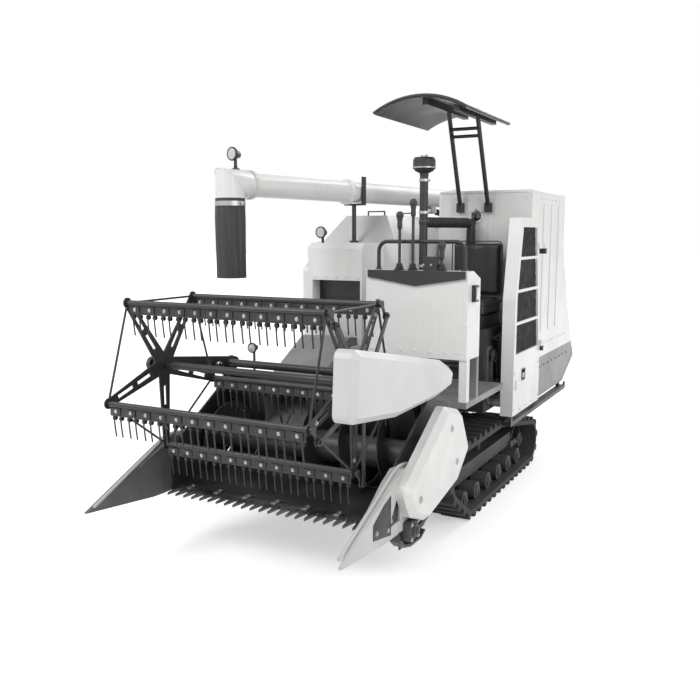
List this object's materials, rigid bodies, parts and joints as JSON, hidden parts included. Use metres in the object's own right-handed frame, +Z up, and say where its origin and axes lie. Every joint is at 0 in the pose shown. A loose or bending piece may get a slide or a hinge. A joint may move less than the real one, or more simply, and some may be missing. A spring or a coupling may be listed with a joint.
{
  "type": "crawler grain combine harvester",
  "caption": "Tracked grain combine: reel and knife header on a lifting feeder, threshing body, grain tank, open station with canopy, folding unloading auger",
  "frame": {"origin": "bottom centre of the bounding box, on the floor under the tracks", "axes": "+Z up, -Y forward towards the header, +X towards the operator's side"},
  "size_m": [1.72, 4.55, 2.7699],
  "materials": {
    "white_paint": "white enamel, a little dusty",
    "grey_paint": "mid grey enamel",
    "dark_paint": "dark grey enamel with bright wear on edges",
    "rubber": "matt moulded rubber",
    "black_plastic": "grained black plastic",
    "seat_cover": "black sewn vinyl",
    "engine_iron": "painted casting",
    "rod_chrome": "polished piston rod"
  },
  "bodies": {
    "chassis": {"chassis_frame": "dark_paint", "gearbox": "grey_paint", "track_left": "rubber", "track_right": "rubber", "undercarriage_left": "dark_paint", "undercarriage_right": "dark_paint", "engine_block": "engine_iron", "thresher_body": "white_paint", "thresher_top": "white_paint", "thresher_side": "white_paint", "straw_hood": "white_paint", "grain_tank": "white_paint", "side_panel": "grey_paint", "side_step": "dark_paint", "operator_floor": "grey_paint", "console": "white_paint", "console_hood": "black_plastic", "control_levers": "black_plastic", "handrail": "dark_paint", "seat_base": "dark_paint", "seat_cushion": "seat_cover", "seat_back": "seat_cover", "canopy_frame": "dark_paint", "canopy_roof": "white_paint", "intake_stack": "black_plastic", "work_lamps": "black_plastic", "door_hinges": "dark_paint", "auger_column": "white_paint", "auger_rest": "dark_paint"},
    "engine_door": {"engine_door": "white_paint", "engine_screen": "dark_paint"},
    "auger_turret": {"auger_turret": "white_paint"},
    "auger_boom": {"auger_tube": "white_paint", "auger_chute": "rubber", "boom_lamp": "black_plastic"},
    "boom_barrel": {"boom_barrel": "dark_paint"},
    "boom_rod": {"boom_rod": "rod_chrome"},
    "header": {"header_pan": "dark_paint", "feeder_house": "grey_paint", "cutter_bar": "dark_paint", "crop_dividers": "white_paint", "header_cover": "white_paint", "header_lamp": "black_plastic"},
    "cross_auger": {"cross_auger": "dark_paint"},
    "lift_barrel": {"lift_barrel": "dark_paint"},
    "lift_rod": {"lift_rod": "rod_chrome"},
    "reel_arms": {"reel_arms": "dark_paint", "reel_cover": "white_paint"},
    "reel": {"reel_frame": "dark_paint"},
    "reel_ring": {"reel_ring": "dark_paint"},
    "reel_barrels": {"reel_barrels": "dark_paint"},
    "reel_rods": {"reel_rods": "rod_chrome"},
    "tine_bar_1": {"tine_bar_1": "dark_paint"},
    "tine_bar_2": {"tine_bar_2": "dark_paint"},
    "tine_bar_3": {"tine_bar_3": "dark_paint"},
    "tine_bar_4": {"tine_bar_4": "dark_paint"},
    "tine_bar_5": {"tine_bar_5": "dark_paint"}
  },
  "joints": [
    {"name": "header_lift", "type": "hinge", "parent": "chassis", "child": "header", "pos_m": [0, -0.476, 1.03], "axis": [-1, 0, 0], "range_deg": [-10, 10]},
    {"name": "lift_barrel_turn", "type": "hinge", "parent": "chassis", "child": "lift_barrel", "pos_m": [-0.225, -0.34, 0.45], "axis": [-1, 0, 0], "range_deg": [-6.6, 6.6]},
    {"name": "lift_rod_slide", "type": "slide", "parent": "lift_barrel", "child": "lift_rod", "axis": [0, -0.9954, 0.0957], "range_m": [-0.10034, 0.10034]},
    {"name": "cross_auger_spin", "type": "hinge", "parent": "header", "child": "cross_auger", "pos_m": [0, -1.226, 0.606], "axis": [1, 0, 0], "continuous": true},
    {"name": "reel_lift", "type": "hinge", "parent": "header", "child": "reel_arms", "pos_m": [0, -1.04, 1.02], "axis": [-1, 0, 0], "range_deg": [0, 12]},
    {"name": "reel_barrel_turn", "type": "hinge", "parent": "header", "child": "reel_barrels", "pos_m": [0, -1.06, 0.79], "axis": [-1, 0, 0], "range_deg": [-0.2, 5.67]},
    {"name": "reel_rod_slide", "type": "slide", "parent": "reel_barrels", "child": "reel_rods", "axis": [0, -0.6207, 0.784], "range_m": [-0.002, 0.03346]},
    {"name": "reel_spin", "type": "hinge", "parent": "reel_arms", "child": "reel", "pos_m": [0, -1.81, 1.12], "axis": [1, 0, 0], "continuous": true},
    {"name": "reel_ring_spin", "type": "hinge", "parent": "reel_arms", "child": "reel_ring", "pos_m": [0, -1.775, 1.05938], "axis": [1, 0, 0], "continuous": true},
    {"name": "tine_bar_1_turn", "type": "hinge", "parent": "reel", "child": "tine_bar_1", "pos_m": [0, -1.54256, 1.4881], "axis": [1, 0, 0], "continuous": true},
    {"name": "tine_bar_2_turn", "type": "hinge", "parent": "reel", "child": "tine_bar_2", "pos_m": [0, -2.07744, 1.4881], "axis": [1, 0, 0], "continuous": true},
    {"name": "tine_bar_3_turn", "type": "hinge", "parent": "reel", "child": "tine_bar_3", "pos_m": [0, -2.24273, 0.9794], "axis": [1, 0, 0], "continuous": true},
    {"name": "tine_bar_4_turn", "type": "hinge", "parent": "reel", "child": "tine_bar_4", "pos_m": [0, -1.81, 0.665], "axis": [1, 0, 0], "continuous": true},
    {"name": "tine_bar_5_turn", "type": "hinge", "parent": "reel", "child": "tine_bar_5", "pos_m": [0, -1.37727, 0.9794], "axis": [1, 0, 0], "continuous": true},
    {"name": "engine_door_swing", "type": "hinge", "parent": "chassis", "child": "engine_door", "pos_m": [0.846, 0.848, 0.96], "axis": [0, 0, 1], "range_deg": [0, 100]},
    {"name": "boom_swing", "type": "hinge", "parent": "chassis", "child": "auger_turret", "pos_m": [-0.12, 1.75, 1.96], "axis": [0, 0, -1], "range_deg": [0, 150]},
    {"name": "boom_lift", "type": "hinge", "parent": "auger_turret", "child": "auger_boom", "pos_m": [-0.12, 1.75, 2.15], "axis": [-0.9882, 0.153, 0], "range_deg": [0, 20]},
    {"name": "boom_barrel_turn", "type": "hinge", "parent": "auger_turret", "child": "boom_barrel", "pos_m": [-0.14601, 1.582, 1.992], "axis": [-0.9882, 0.153, 0], "range_deg": [-0.3, 24.89]},
    {"name": "boom_rod_slide", "type": "slide", "parent": "boom_barrel", "child": "boom_rod", "axis": [-0.1518, -0.9808, 0.1223], "range_m": [-0.002, 0.07337]}
  ],
  "couplings": [
    {"joint": "lift_barrel_turn", "follows": "header_lift", "ratio": 0.6399},
    {"joint": "lift_rod_slide", "follows": "header_lift", "m_per_rad": 0.56344},
    {"joint": "reel_barrel_turn", "follows": "reel_lift", "ratio": 0.45605},
    {"joint": "reel_rod_slide", "follows": "reel_lift", "m_per_rad": 0.15021},
    {"joint": "reel_ring_spin", "follows": "reel_spin", "ratio": 1},
    {"joint": "tine_bar_1_turn", "follows": "reel_spin", "ratio": -1},
    {"joint": "tine_bar_2_turn", "follows": "reel_spin", "ratio": -1},
    {"joint": "tine_bar_3_turn", "follows": "reel_spin", "ratio": -1},
    {"joint": "tine_bar_4_turn", "follows": "reel_spin", "ratio": -1},
    {"joint": "tine_bar_5_turn", "follows": "reel_spin", "ratio": -1},
    {"joint": "boom_barrel_turn", "follows": "boom_lift", "ratio": 1.2295},
    {"joint": "boom_rod_slide", "follows": "boom_lift", "m_per_rad": 0.20447}
  ]
}
